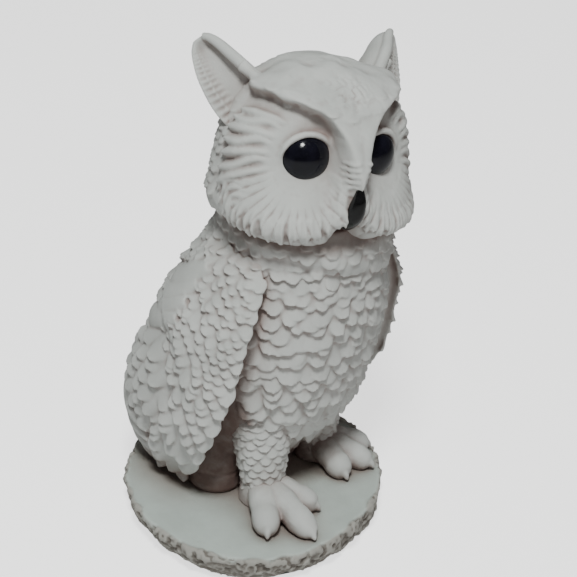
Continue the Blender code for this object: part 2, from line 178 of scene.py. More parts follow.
class Clay:
    """Closed solids gathered as one mesh, in millimetres."""

    def __init__(self):
        self.points, self.faces, self.count = [], [], 0

    def add(self, points, faces):
        points = np.asarray(points, float).reshape(-1, 3)
        self.points.append(points)
        self.faces.extend((np.asarray(f) + self.count).tolist() for f in faces)
        self.count += len(points)

    def rings(self, rings):
        """Solid through closed rings: an array of levels by points by xyz."""
        rings = np.asarray(rings, float)
        levels, around = rings.shape[:2]
        index = np.arange(levels * around).reshape(levels, around)
        nxt = np.roll(index, -1, axis=1)
        quads = np.stack([index[:-1], nxt[:-1], nxt[1:], index[1:]], -1).reshape(-1, 4)
        self.add(rings, list(quads) + [index[0][::-1], index[-1]])

    def slabs(self, top, bottom):
        """Many closed slabs at once: arrays of slabs by rows by columns by xyz."""
        slabs, rows, cols = top.shape[:3]
        each = rows * cols
        index = np.arange(each).reshape(rows, cols)
        quads = np.stack([index[:-1, :-1], index[:-1, 1:], index[1:, 1:], index[1:, :-1]], -1).reshape(-1, 4)
        edge = np.concatenate([index[0, :-1], index[:-1, -1], index[-1, :0:-1], index[:0:-1, 0]])
        wall = np.stack([edge, edge + each, np.roll(edge, -1) + each, np.roll(edge, -1)], -1)
        faces = np.concatenate([quads, quads[:, ::-1] + each, wall])
        points = np.concatenate([top.reshape(slabs, each, 3), bottom.reshape(slabs, each, 3)], 1)
        everything = (faces[None] + (np.arange(slabs) * 2 * each)[:, None, None]).reshape(-1, 4)
        self.add(points, list(everything))

    def tube(self, path, radii, flat=1.0, around=14):
        """Round solid along a path, with a radius at each of its points."""
        path, radii = np.asarray(path, float), np.asarray(radii, float)
        along = unit(np.gradient(path, axis=0))
        side = unit(np.cross(along, (0.03, 0.05, 1.0)))
        over = np.cross(side, along)
        turn = np.linspace(0, TAU, around, endpoint=False)
        ring = (path[:, None] + radii[:, None, None] * (np.cos(turn)[None, :, None] * side[:, None]
                + flat * np.sin(turn)[None, :, None] * over[:, None]))
        self.rings(ring)

    def ball(self, centre, radius, squash=(1, 1, 1), rows=10, around=16):
        polar = np.linspace(0.12, math.pi - 0.12, rows)[:, None]
        turn = np.linspace(0, TAU, around, endpoint=False)[None]
        ring = np.stack([np.sin(polar) * np.cos(turn), np.sin(polar) * np.sin(turn),
                         np.cos(polar) + 0 * turn], -1)
        self.rings(np.asarray(centre) + radius * np.asarray(squash) * ring)

    def mesh(self, name):
        mesh = bpy.data.meshes.new(name)
        mesh.from_pydata((np.concatenate(self.points) * MM).tolist(), [], self.faces)
        mesh.update()
        return mesh


class Sheet:
    """Surface over (u, v), with the sign that makes its normals look outwards."""

    def __init__(self, at, sign=1.0):
        self.at, self.sign = at, sign

    def __call__(self, u, v):
        return self.at(u, v)

    def frame(self, u, v):
        """Points, unit normals and the two tangents."""
        h = 1e-3
        du = (self.at(u + h, v) - self.at(u - h, v)) / (2 * h)
        dv = (self.at(u, v + h) - self.at(u, v - h)) / (2 * h)
        return self.at(u, v), self.sign * unit(np.cross(dv, du)), du, dv


TIP_STEPS = (0, 22, 42, 60, 75, 86)        # turns, in degrees, round the quarter ellipse of a feather's tip
FEATHER_ROOT = 0.35                        # share of a feather's length that lies behind its place


def tangent_shares(du, dv, across, along):
    """How far the two tangents run across and along, and the determinant that turns lengths into (u, v)."""
    ua, va, ub, vb = dot(du, across), dot(dv, across), dot(du, along), dot(dv, along)
    det = ua * vb - va * ub
    return ua, va, ub, vb, np.where(np.abs(det) < 1e-6, 1e-6, det)


def feathers(clay, surface, u, v, width, length, lift, down, swing=0.0, tip=2.4, crown=0.55,
             cols=7, sink=1.4):
    """Overlapping scale feathers seated on a surface at (u, v), pointing along `down` turned by `swing`."""
    count = len(u)
    width, length, lift, swing = (np.broadcast_to(np.asarray(x, float), count)
                                  for x in (width, length, lift, swing))
    here, normal, du, dv = surface.frame(u, v)
    aim = np.broadcast_to(np.asarray(down, float), here.shape)
    aim = unit(aim - dot(aim, normal)[:, None] * normal)
    across = np.cross(normal, aim)
    aim = aim * np.cos(swing)[:, None] + across * np.sin(swing)[:, None]
    across = np.cross(normal, aim)
    round_end = np.radians(TIP_STEPS)
    t = np.concatenate([[0, 0.22, 0.42], 0.5 + 0.5 * np.sin(round_end)])[:, None]
    s = np.linspace(-1, 1, cols)[None]
    outline = np.concatenate([[0.72, 0.88, 0.97], np.cos(round_end) ** (2 / tip)])[:, None]
    a = (s * outline)[None] * width[:, None, None] / 2
    b = (t - FEATHER_ROOT + 0 * s)[None] * length[:, None, None]
    ua, va, ub, vb, det = tangent_shares(du, dv, across, aim)
    shift_u = (a * vb[:, None, None] - b * va[:, None, None]) / det[:, None, None]
    shift_v = (b * ua[:, None, None] - a * ub[:, None, None]) / det[:, None, None]
    where, out, _, _ = surface.frame((u[:, None, None] + shift_u).ravel(),
                                     (v[:, None, None] + shift_v).ravel())
    shape = (count, len(t), cols, 3)
    where, out = where.reshape(shape), out.reshape(shape)
    rise = (0.06 + 0.94 * t**1.8) * (1 - crown * (s * outline) ** 2) * (1 - 0.08 * bump(s, 0, 0.15))
    height = lift[:, None, None] * rise[None]
    clay.slabs(where + out * height[..., None], where - out * sink)


def strip(clay, surface, path, width, lift, rows=26, cols=7, sink=1.2, blunt=3.0, ridge=0.3):
    """Long lock or quill seated on a surface along a path in (u, v), widening to a rounded end."""
    t = np.linspace(0, 1, rows)
    curve = resampled(path, rows)
    here, normal, du, dv = surface.frame(curve[0], curve[1])
    along = unit(np.gradient(here, axis=0))
    across = unit(np.cross(normal, along))
    _, _, ub, vb, det = tangent_shares(du, dv, across, along)
    wide = np.interp(t, np.linspace(0, 1, len(width)), width) * np.clip(1 - t**(blunt * 4), 0.08, 1) ** 0.5
    high = np.interp(t, np.linspace(0, 1, len(lift)), lift)
    s = np.linspace(-1, 1, cols)
    a = s[None] * wide[:, None] / 2
    where, out, _, _ = surface.frame((curve[0][:, None] + a * (vb / det)[:, None]).ravel(),
                                     (curve[1][:, None] - a * (ub / det)[:, None]).ravel())
    where, out = where.reshape(rows, cols, 3), out.reshape(rows, cols, 3)
    rise = high[:, None] * (1 - (1 - ridge) * np.abs(s[None]) ** 2.2)
    clay.slabs((where + out * rise[..., None])[None], (where - out * sink)[None])


# ---- skins ----------------------------------------------------------------------------------


def neighbours_mean(points, edges, degree):
    total = np.stack([np.bincount(edges[:, 0], points[edges[:, 1], k], len(points))
                      + np.bincount(edges[:, 1], points[edges[:, 0], k], len(points)) for k in range(3)], 1)
    return total / degree[:, None]


def read_mesh(mesh):
    points = np.zeros(len(mesh.vertices) * 3)
    mesh.vertices.foreach_get("co", points)
    edges = np.zeros(len(mesh.edges) * 2, np.int64)
    mesh.edges.foreach_get("vertices", edges)
    return points.reshape(-1, 3) / MM, edges.reshape(-1, 2)


def normals_of(mesh):
    normals = np.zeros(len(mesh.vertices) * 3)
    mesh.vertices.foreach_get("normal", normals)
    return normals.reshape(-1, 3)


def new_object(name, data):
    """A new object, linked to the scene."""
    made = bpy.data.objects.new(name, data)
    bpy.context.scene.collection.objects.link(made)
    return made


def add_attribute(mesh, name, values):
    mesh.attributes.new(name, "FLOAT", "POINT").data.foreach_set("value", values)


HOLLOW_STEPS = (5, 23)       # rounds of smoothing after which small and larger hollows are measured


def finish_skin(mesh, soften, carve, floor):
    """Softens a skin as a worn mould does, carves fine relief into it and records its hollows."""
    points, edges = read_mesh(mesh)
    degree = np.maximum(np.bincount(edges.ravel(), minlength=len(points)), 1)
    for _ in range(soften):
        points += 0.5 * (neighbours_mean(points, edges, degree) - points)
    if carve:
        mesh.vertices.foreach_set("co", (points * MM).ravel())
        mesh.update()
        points = points + normals_of(mesh) * carve(points)[:, None]
    if floor is not None:
        points[:, 2] = np.maximum(points[:, 2], floor)
    mesh.vertices.foreach_set("co", (points * MM).ravel())
    mesh.update()
    normals = normals_of(mesh)
    hollow = np.zeros(len(points))
    smooth = points.copy()
    for step in range(HOLLOW_STEPS[-1] + 1):
        smooth += 0.6 * (neighbours_mean(smooth, edges, degree) - smooth)
        if step in HOLLOW_STEPS:
            hollow += dot(smooth - points, normals)
    add_attribute(mesh, "hollow", hollow)
    mesh.polygons.foreach_set("use_smooth", np.ones(len(mesh.polygons), bool))
    mesh.update()


def skin(clay, name, voxel, soften=1, carve=None, floor=None):
    """One closed skin around all the clay."""
    holder = new_object(name, clay.mesh(name + "_clay"))
    remesh = holder.modifiers.new("skin", "REMESH")
    remesh.mode = "VOXEL"
    remesh.voxel_size = voxel * MM * 1.0
    graph = bpy.context.evaluated_depsgraph_get()
    mesh = bpy.data.meshes.new_from_object(holder.evaluated_get(graph))
    mesh.name = name
    bpy.data.objects.remove(holder)
    finish_skin(mesh, soften, carve, floor)
    return new_object(name, mesh)


def place(piece, material, slot, *nodes):
    piece.data.materials.clear()
    piece.data.materials.append(material)
    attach(piece, "root")
    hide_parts(*nodes)


# ---- torso ----------------------------------------------------------------------------------

torso_rows = Rows(TORSO)


def torso_relief(angle, height):
    """Swellings of the torso: the bib under the face and the mantle over the upper back."""
    bib_edge = 161 + 13 * np.sin(angle)
    bib = 3.4 * smoothstep((height - bib_edge + 2.0) / 8.0) * smoothstep((np.cos(angle) + 0.1) / 0.4)
    mantle = (smoothstep((height - 104) / 9) * smoothstep((182 - height) / 66)
              * smoothstep((-np.cos(angle) - 0.2) / 0.45))
    breast = 2.0 * bump(height, 128, 14) * smoothstep(np.cos(angle))
    return bib + 14.0 * mantle + breast


def torso_surface(angle, height):
    middle_y, half_width, half_depth = torso_rows(height)
    grow = torso_relief(angle, height) - TORSO_INSET
    x, y = section(middle_y, half_width + grow, half_depth + grow, angle, TORSO_SQUARENESS)
    return np.stack([x, y, height + 0 * angle], -1)


TORSO_SHEET = Sheet(torso_surface)


def grid_rings(surface, heights, around):
    angle = np.linspace(0, TAU, around, endpoint=False)[None]
    height = np.asarray(heights)[:, None]
    a, h = np.broadcast_arrays(angle, height)
    return surface(a.ravel(), h.ravel()).reshape(*a.shape, 3)


def torso_bare(angle, height):
    """True where the torso is smooth: under the wings, and on the flanks below them."""
    side = np.degrees(np.abs((angle + math.pi) % TAU - math.pi))
    upper = (height > 88) & (side > 72) & (side < 128) & (height < 158)
    edge = 48 + np.clip(height - 56, 0, 45) * 0.48
    lower = (height <= 88) & (side > edge) & (side < 156)
    low_front = (side <= edge) & (height < 41)
    low_back = (side >= 156) & (height < 66)
    return upper | lower | low_front | low_back


def staggered(count, row, jitter):
    """Angles of one row of feathers, half a step round from the row before and a little uneven."""
    return (np.arange(count) + 0.5 * (row % 2)) * TAU / count + rng.normal(0, jitter * TAU / count, count)


TORSO_PIECES = {               # solid from and to, feather rows from and to; each hangs over the one below
    "belly_skin": (SOLE, 108, 45, 106), "breast_skin": (98, 168, 106, 163), "neck_skin": (155, 188, 163, 186),
}


def torso_feathers(clay, height, row):
    """One staggered row of feathers round the torso at a height; gives the height of the next row."""
    small = smoothstep((height - 138) / 22)
    step = 6.6 - 1.0 * small - 1.1 * smoothstep((60 - height) / 12)
    count = 33 if height < 148 else 36
    _, half_width, half_depth = torso_rows(height)
    width = TAU * (half_width + half_depth) / 2 / count * 1.12
    angle = (np.arange(count) + 0.5 * (row % 2) + rng.normal(0, 0.11, count)) * TAU / count
    level = height + rng.normal(0, 1.5, count) + 1.6 * np.sin(5 * angle + 0.09 * height)
    size = np.clip(rng.normal(1, 0.13, count), 0.75, 1.3)
    lift = np.clip(rng.normal(3.7, 0.6, count), 2.6, 4.9) - 0.6 * small
    swing = rng.normal(0, 0.20, count) - 0.10 * np.sin(angle)
    keep = ~torso_bare(angle, level)
    if keep.any():
        feathers(clay, TORSO_SHEET, angle[keep], level[keep], (width * size)[keep], (step * 2.1 * size)[keep],
                 lift[keep], (0, 0, -1), swing[keep], tip=2.9, crown=0.42)
    return step


def torso_painted_shade(points):
    """Painted shade on the torso: brown where shade falls on the flanks behind the wings' edges, under the
    face and low at the front.
    """
    height = points[:, 2]
    side = np.degrees(np.arctan2(np.abs(points[:, 0] - MID_X), torso_rows(height)[0] - points[:, 1]))
    edge = 44 + np.clip(height - 56, 0, 45) * 0.48
    flank = smoothstep((side - edge) / 7) * smoothstep((104 - height) / 30) * smoothstep((135 - side) / 30)
    throat = smoothstep((height - 174) / 7) * smoothstep((110 - side) / 20)
    under = smoothstep((56 - height) / 14) * smoothstep((edge - side) / 10)
    return np.clip(flank + 0.75 * throat + 0.5 * under, 0, 1)


FLANK = {                    # the column of each flank, down to its rounded foot beside the leg
    -1: ((-12, 25, 84), (-16, 19, 56), (-19, 15, 36), (-20, 14, 21)),
    1: ((50, 30, 84), (53, 26, 56), (56, 22, 36), (56, 21, 21)),
}
FLANK_RADII = (13.5, 15.5)   # at the column's top and foot


def build_torso():
    pieces = []
    height, row = 42.0, 0
    for name, (low, high, first, last) in TORSO_PIECES.items():
        clay = Clay()
        clay.rings(grid_rings(torso_surface, np.linspace(low, high, int((high - low) / 2.2)), 120))
        if first < 60:
            for path in FLANK.values():
                bent = resampled(path, 16).T
                clay.tube(bent, np.linspace(*FLANK_RADII, 16), around=40)
                clay.ball(bent[-1], FLANK_RADII[1], squash=(1, 1, 0.5), rows=16, around=40)
        while height < last:
            height += torso_feathers(clay, height, row)
            row += 1
        piece = skin(clay, name, VOXELS["torso"], floor=SOLE)
        # painted shade: records where brown shade is painted on the torso
        add_attribute(piece.data, "painted_shade", torso_painted_shade(read_mesh(piece.data)[0]))
        pieces.append(piece)
    return pieces


# ---- wings ----------------------------------------------------------------------------------

wing_rows = Rows(WING)
WING_TOP, WING_FOOT = 168.0, 24.0
WING_FIRST = 0.05            # the front edge itself is bare
WING_INSET = 3.6
wing_fold = Rows((           # height, place across the wing where its raised front part ends
    (24, 0.36), (40, 0.36), (55, 0.33), (70, 0.30), (88, 0.31), (104, 0.38), (116, 0.52), (126, 0.80),
    (138, 1.2),
))


def wing_surface(side):
    """Outer face of a wing: u runs from its front edge, 0, to its rear edge, 1; v is the height."""

    def surface(u, height):
        middle_y, half_width, half_depth, front, rear, _ = wing_rows(height)
        angle = np.radians(front + (rear - front) * u)
        edge = np.sqrt(np.clip(np.sin(math.pi * np.clip(u, 0.0, 1.0)), 0, 1))
        sink = 2.5 * (1 - edge) + 6 * np.maximum(0, np.abs(u - 0.5) - 0.5) + WING_INSET
        sink = sink - 2.8 * smoothstep((wing_fold(height)[0] - u) / 0.09)
        x, y = section(middle_y, half_width - sink, half_depth - sink, angle, WING_SQUARENESS)
        return np.stack([MID_X + side * (MID_X - x), y, height + 0 * u], -1)

    return Sheet(surface, -side)


def wing_down(u, height, surface):
    """Direction of a wing's feathers: down at the front edge, more and more rearwards behind it."""
    _, _, du, _ = surface.frame(u, height)
    rear = unit(du)
    lean = np.radians(4 + 38 * u) * (1 - 0.35 * smoothstep((height - 120) / 30))
    return rear * np.sin(lean)[:, None] + np.array([0, 0, -1.0]) * np.cos(lean)[:, None]


def wing_arc(height):
    """Length round a wing's outer face at a height."""
    _, half_width, half_depth, front, rear, _ = wing_rows(height)
    return math.radians(rear - front) * (half_width + half_depth) / 2


def in_flight_zone(u, height):
    """True behind the wing's fold, where the flight feathers and the bands below them lie."""
    return (u > wing_fold(height)[0] + 0.04) & (height < 128)


def wing_coverts(clay, surface, height, row):
    """One row of small rounded feathers, larger towards the wing's tip; gives the step to the next row."""
    big = smoothstep((146 - height) / 80)
    tip = smoothstep((64 - height) / 16)
    width = 6.2 + 4.2 * big + 3.0 * tip
    step = 3.7 + 2.3 * big + 0.8 * tip
    count = max(3, int(round(wing_arc(height) / (0.90 * width))))
    u = (np.arange(count + 1) + 0.5 * (row % 2)) / count + rng.normal(0, 0.09 / count, count + 1)
    u = WING_FIRST + (1 - WING_FIRST) * u[u < 1.02]
    level = height + rng.normal(0, 0.8, len(u))
    keep = ~in_flight_zone(u, level)
    u, level = u[keep], level[keep]
    size = rng.normal(1, 0.10, len(u))
    lift = rng.normal(2.8, 0.25, len(u)) + 0.9 * big
    feathers(clay, surface, u, level, width * size, step * 2.15 * size, lift,
             wing_down(u, level, surface), rng.normal(0, 0.15, len(u)), tip=2.3)
    return step


def flight_feathers(clay, surface, height, row):
    """One row of long flight feathers behind the wing's fold, raked to the rear."""
    first = wing_fold(height)[0] + 0.07
    count = max(2, int(round(wing_arc(height) * (1.04 - first) / 10.5)))
    u = first + (1.02 - first) * (np.arange(count + 1) + 0.5 * (row % 2)) / count
    u = u[u < 1.04] + rng.normal(0, 0.008, (u < 1.04).sum())
    level = height + 7.0 * (u - 0.7) + rng.normal(0, 0.8, len(u))
    down = wing_down(u + 0.45, level, surface)
    feathers(clay, surface, u, level, rng.normal(13.4, 0.8, len(u)), rng.normal(21, 1.5, len(u)),
             rng.normal(4.9, 0.35, len(u)), down, rng.normal(0, 0.08, len(u)), tip=2.3, crown=0.75, cols=9)


def wing_body(surface):
    """Rings of the plain wing under its feathers, thinner towards both edges."""
    u = np.linspace(0, 1, 40)
    rings = []
    for height in np.linspace(WING_FOOT, WING_TOP, 60):
        outer, out, _, _ = surface.frame(u, np.full_like(u, height))
        depth = wing_rows(height)[5] * (0.3 + 0.7 * np.sqrt(np.clip(np.sin(math.pi * u), 0, 1)))
        flat = unit(out * np.array([1, 1, 0]))
        rings.append(np.concatenate([outer, (outer - flat * depth[:, None])[::-1]]))
    return np.array(rings)


def wing_bands(clay, surface):
    """Smooth bands: four over the shoulder's rear and four round the foot of the wing's rear edge."""
    for k in range(4):
        high = 158 - 9.5 * k
        path = [(0.60 - 0.02 * k, high), (0.74, high - 8), (0.88, high - 15), (1.03, high - 19)]
        lifts = (2.8, 4.0, 5.0 + 0.4 * k, 5.0 + 0.7 * k)
        strip(clay, surface, path, (7, 14, 16, 15), lifts, ridge=0.5, sink=2.5)
    for k in range(4):
        low = 57 - 8.0 * k
        path = [(1.03, low + 9), (0.84, low + 1), (0.62, low - 6), (0.36, low - 8)]
        strip(clay, surface, path, (9, 11, 11, 9), (3.4, 5.4, 5.4, 3.4), ridge=0.35)


def build_wing(side, name):
    clay = Clay()
    surface = wing_surface(side)
    clay.rings(wing_body(surface))
    height, row = 29.0, 0
    while height < WING_TOP:
        height += wing_coverts(clay, surface, height, row)
        row += 1
    for row in range(8):
        flight_feathers(clay, surface, 62.0 + 8.4 * row, row)
    wing_bands(clay, surface)
    return skin(clay, name, VOXELS["wing"])


# ---- head -----------------------------------------------------------------------------------

head_rows = Rows(HEAD)
FACE_RADIUS = 50.0           # turns side angles of the face into millimetres across it
BROW_LINE = np.array([       # side angle, and height above the head's middle
    (-3, -13), (0.5, -6), (3, 1), (8, 13), (14, 20), (24, 25.5), (38, 28), (57, 29.5), (81, 29), (104, 27),
], float)


def brow_distance(side, up):
    """Signed distance from the brow's crest line, positive above it on the forehead."""
    at = np.stack([np.abs(side) * FACE_RADIUS * math.pi / 180, up], -1)
    line = BROW_LINE * np.array([FACE_RADIUS * math.pi / 180, 1.0])
    line = resampled(line, 40).T
    best = np.full(at.shape[:-1], 1e9)
    sign = np.ones(at.shape[:-1])
    for a, b in zip(line[:-1], line[1:]):
        ab = b - a
        t = np.clip(((at - a) @ ab) / (ab @ ab), 0, 1)
        off = at - (a + t[..., None] * ab)
        away = np.linalg.norm(off, axis=-1)
        above = ab[0] * off[..., 1] - ab[1] * off[..., 0] > 0
        closer = away < best
        sign = np.where(closer, np.where(above, 1.0, -1.0), sign)
        best = np.minimum(best, away)
    return sign * best


def head_relief(angle, height):
    """Relief of the face over the plain head; the angle runs towards the bird's right."""
    side = (np.degrees(angle) + 180) % 360 - 180
    up = height - HEAD_CENTRE[2]
    wide = np.abs(side)
    relief = 6.5 * bump(wide, 44, 25) * bump(height, 195, 14)
    relief += -8.0 * bump(wide, 31, 13) * bump(height, 224, 12)
    relief += 6.0 * bump(side, 0, 7) * bump(height, 213, 20)
    relief -= 13.0 * bump(side, 0, 7) * smoothstep((199 - height) / 10)
    brow = brow_distance(side, up)
    front = smoothstep((108 - wide) / 22)
    over = 6.2 * np.exp(-np.maximum(brow, 0) / 24) + 1.2 * bump(brow, 1.8, 2.2)
    under = -4.6 * bump(brow, -7.5, 6.5) * smoothstep((wide - 4) / 12)
    step = smoothstep((brow + 5.4) / 6.6)
    relief += front * (over * step + under * (1 - step))
    return relief


def head_surface(angle, height):
    """Head in its own axes (left, ahead, up)."""
    half_width, front, behind = head_rows(height)
    ahead, side = np.cos(angle), np.sin(angle)
    blend = smoothstep((ahead + 0.25) / 0.5)
    depth = front * blend + behind * (1 - blend)
    out = head_relief(angle, height)
    return np.stack([-(half_width + out) * side, (depth + out) * ahead,
                     height - HEAD_CENTRE[2] + 0 * angle], -1)


HEAD_SHEET = Sheet(head_surface, -1.0)   # the head's own axes are left-handed


def head_place(points):
    """World places, in millimetres, of points in the head's own axes; the neck doesn't lean."""
    points = np.asarray(points, float)
    left, ahead, up = points[..., 0], points[..., 1], points[..., 2]
    lean = math.radians(HEAD_LEAN) * smoothstep((HEAD_CENTRE[2] + up - NECK_JOINT) / 25.0)
    turn = math.radians(HEAD_TURN)
    across = left * np.cos(lean) + up * np.sin(lean)
    risen = up * np.cos(lean) - left * np.sin(lean)
    return np.stack([HEAD_CENTRE[0] + across * math.cos(turn) - ahead * math.sin(turn),
                     HEAD_CENTRE[1] - across * math.sin(turn) - ahead * math.cos(turn),
                     HEAD_CENTRE[2] + risen], -1)


def placed(clay):
    """The same clay, moved from the head's own axes to the world."""
    clay.points = [head_place(points) for points in clay.points]
    return clay


def face_path(path, side):
    """Angles and heights on the head of places on one side of the face, in millimetres out and up."""
    path = np.asarray(path, float)
    angle = np.radians(path[:, 0] * side / (FACE_RADIUS * math.pi / 180))
    return np.stack([angle, path[:, 1] + HEAD_CENTRE[2]], -1)


DISC_EDGE = Rows((           # bearing from the eye, 0 down and 90 out; the disc's edge across and up
    (-75, 3.5, -23), (-60, 4.5, -28), (-48, 7, -31.5), (-35, 11, -34.5), (-21, 17.5, -37), (-4, 26, -38.8),
    (10, 34, -39.5), (23, 44.5, -39.5), (37, 56, -39), (46, 63, -36.5), (55, 70, -30.5), (66, 74.5, -21),
    (78, 77, -10), (90, 79, 1), (104, 80, 11), (120, 76, 18), (134, 70, 23), (150, 60, 24),
))
EYE_ACROSS, EYE_UP, LOCK_START = 28.5, -1.0, 16.5
FOLDS = 7
DISC_LOCKS = (               # count, bearings from and to, shift, reach, lift
    (29, -75, 64, 0.0, 1.0, 2.1), (27, -70, 60, 0.5, 0.87, 2.7),
)


def lock_path(bearing, reach):
    """Path of one lock, swept out of the eye ring and combed down to the disc's edge."""
    edge = DISC_EDGE(bearing) + rng.normal(0, 0.7, 2)
    start = math.radians(bearing)
    out = np.array([math.sin(start), -math.cos(start)])
    root = np.array([EYE_ACROSS, EYE_UP]) + LOCK_START * out
    end = root + (edge - root) * reach
    span = np.linalg.norm(end - root)
    combed = smoothstep((95 - abs(bearing)) / 60)
    belly = root + out * span * 0.42 + rng.normal(0, 0.35, 2)
    late = end - (end - root) * [0.10 + 0.12 * (1 - combed), 0.22] + np.array([0, 4.5 * min(span / 25, 1)])
    return np.array([root, belly, late, end]), span


def build_locks(clay, side):
    """Long soft locks of the facial disc, and the broad wavy folds above and outside the eye."""
    for count, first, last, shift, reach, lift in DISC_LOCKS:
        for k in range(count):
            bearing = first + (last - first) * (k + shift + rng.normal(0, 0.10)) / (count - 1)
            path, span = lock_path(bearing, reach)
            wide = (4.3 + 0.4 * rng.normal()) * min(1.0, span / 20)
            strip(clay, HEAD_SHEET, face_path(path, side), (1.6, wide * 0.8, wide, wide * 0.9),
                  (0.3, 0.45 * lift, 0.9 * lift, lift), ridge=0.05, blunt=2.0)
    for k in range(FOLDS):
        edge = DISC_EDGE(66 + 8.0 * k)
        start = math.radians(72 + 12.5 * k)
        out = np.array([math.sin(start), -math.cos(start)])
        root = np.array([EYE_ACROSS, EYE_UP]) + (LOCK_START + 0.5 * k) * out
        span = edge - root
        wave = 2.6 * (1 if k % 2 else 0.5)
        path = np.array([root, root + 0.3 * span + [0, wave], root + 0.66 * span + [0, 1.6 - wave],
                         edge + [0, -1.5]])
        strip(clay, HEAD_SHEET, face_path(path, side), (1.4, 5.0, 7.0, 6.6), (0.0, 2.2, 4.0, 3.4), ridge=0.0)


def head_axes(points):
    """Places in the head's own axes (left, ahead, up) of world points, in millimetres."""
    across = points - np.array(HEAD_CENTRE)
    turn = math.radians(HEAD_TURN)
    lean = math.radians(HEAD_LEAN) * smoothstep((points[:, 2] - NECK_JOINT) / 25.0)
    sideways = across[:, 0] * math.cos(turn) - across[:, 1] * math.sin(turn)
    ahead = -across[:, 0] * math.sin(turn) - across[:, 1] * math.cos(turn)
    left = sideways * np.cos(lean) - across[:, 2] * np.sin(lean)
    up = sideways * np.sin(lean) + across[:, 2] * np.cos(lean)
    return np.stack([left, ahead, up], -1)


def disc_grooves(points):
    """Fine combed grooves, fanning out under the eyes and deepening towards the discs' edges."""
    left, ahead, up = head_axes(points).T
    round_face = np.abs(np.arctan2(left, np.maximum(ahead, 1.0))) * FACE_RADIUS
    x, y = round_face - EYE_ACROSS, up - EYE_UP
    reach = np.hypot(x, y)
    bearing = np.degrees(np.arctan2(x + 0.10 * y, -y)) + 0.25 * reach
    wander = 1.2 * noise(points, 9.0, 21)
    groove = np.abs(np.sin(np.radians(bearing * 19.0 + 40 * wander)))
    lower = (smoothstep((86 - np.abs(bearing - 6)) / 26) * smoothstep((reach - 17) / 12)
             * smoothstep((46 - reach) / 5))
    return -0.75 * (1 - groove) ** 2 * lower * (ahead > 0)


BROW_END = (                 # left, ahead and up of the brow's ridge where it runs out on to the ear
    (33.0, 9.5, 28.0), (35.5, 3.5, 29.3), (38.3, -3.9, 31.2), (42.5, -9.3, 34.6),
)


def build_brow(clay, side):
    """Rounded end of the brow's ridge, running out to the ear."""
    path = resampled(BROW_END, 20).T * [side, 1, 1]
    clay.tube(path, np.linspace(1.8, 3.2, 20), around=16)


def eye_frame(side):
    """Centre of an eyeball and the way it looks, in the head's own axes; side is +1 on the bird's left."""
    splay = math.radians(EYE_SPLAY)
    return (np.array([side * EYE_PLACE[0], EYE_PLACE[1], EYE_PLACE[2]]),
            np.array([side * math.sin(splay), math.cos(splay), 0.0]))


def build_eyelids(clay, side):
    centre, look = eye_frame(side)
    across = unit(np.cross(look, (0, 0, 1)))
    above = np.cross(across, look)
    turn = np.linspace(0, TAU, 49)
    up = np.sin(turn)
    radius = 13.6 + 0.3 * np.maximum(up, 0)
    thick = 1.2 + 0.7 * np.maximum(up, 0)
    forward = 6.0 + 1.3 * np.maximum(up, 0)
    ring = (centre + look * forward[:, None] + across * (radius * np.cos(turn))[:, None]
            + above * (radius * up)[:, None])
    for a in range(0, 48, 4):
        part = slice(a, a + 5)
        clay.tube(ring[part], thick[part], around=12)
    for a in range(0, 48, 2):
        clay.ball(ring[a], thick[a])


def build_bridge(clay, side):
    """Short locks across the bridge between an eye and the beak."""
    for k in range(5):
        up = 4 - 3.2 * k
        path = face_path([(1.6, up + 1.0), (4.0, up), (7.0, up - 1.4)], side)
        strip(clay, HEAD_SHEET, path, (1.6, 2.4, 1.8), (0.4, 1.4, 0.7), rows=10)


def head_feathers(clay, height, row):
    """One row of small feathers round the back of the head, and fainter ones on its crown."""
    width, step = 8.8, 5.4
    count = int(round(TAU * head_rows(height)[0] / (0.84 * width)))
    angle = staggered(count, row, 0.1)
    level = height + rng.normal(0, 0.6, count)
    side = np.degrees((angle + math.pi) % TAU - math.pi)
    lift = 2.4 - 1.5 * smoothstep((level - 236) / 14)
    keep = (np.abs(side) > 94) | (level > 250)
    if keep.any():
        feathers(clay, HEAD_SHEET, angle[keep], level[keep], width * rng.normal(1, 0.08, keep.sum()),
                 step * 2.1, lift[keep], (0, 0, -1), rng.normal(0, 0.12, keep.sum()))
    return step


def carve_head(points):
    """Curled down on the forehead, lumps and faint scales on the crown, and the discs' grooves."""
    centre = head_place(np.array([0.0, 27.0, 31.0]))
    away = np.linalg.norm(points - centre, axis=1)
    curls = np.abs(noise(points, 3.4, 5)) + 0.5 * np.abs(noise(points, 1.8, 6))
    top = smoothstep((points[:, 2] - 246) / 12)
    return (0.9 * (curls - 0.4) * smoothstep((17 - away) / 12) + 0.12 * noise(points, 2.4, 9)
            + 1.5 * top * noise(points, 8.5, 12) + disc_grooves(points))


def build_head():
    clay = Clay()
    heights = np.concatenate([np.linspace(177, 261, 130), np.linspace(262.2, 265.4, 5)])
    clay.rings(grid_rings(head_surface, heights, 280))
    for side in (-1, 1):
        build_eyelids(clay, side)
        build_brow(clay, side)
        build_locks(clay, side)
        build_bridge(clay, side)
    height, row = 183.0, 0
    while height < 262:
        height += head_feathers(clay, height, row)
        row += 1
    return skin(placed(clay), "head_skin", VOXELS["head"], carve=carve_head)


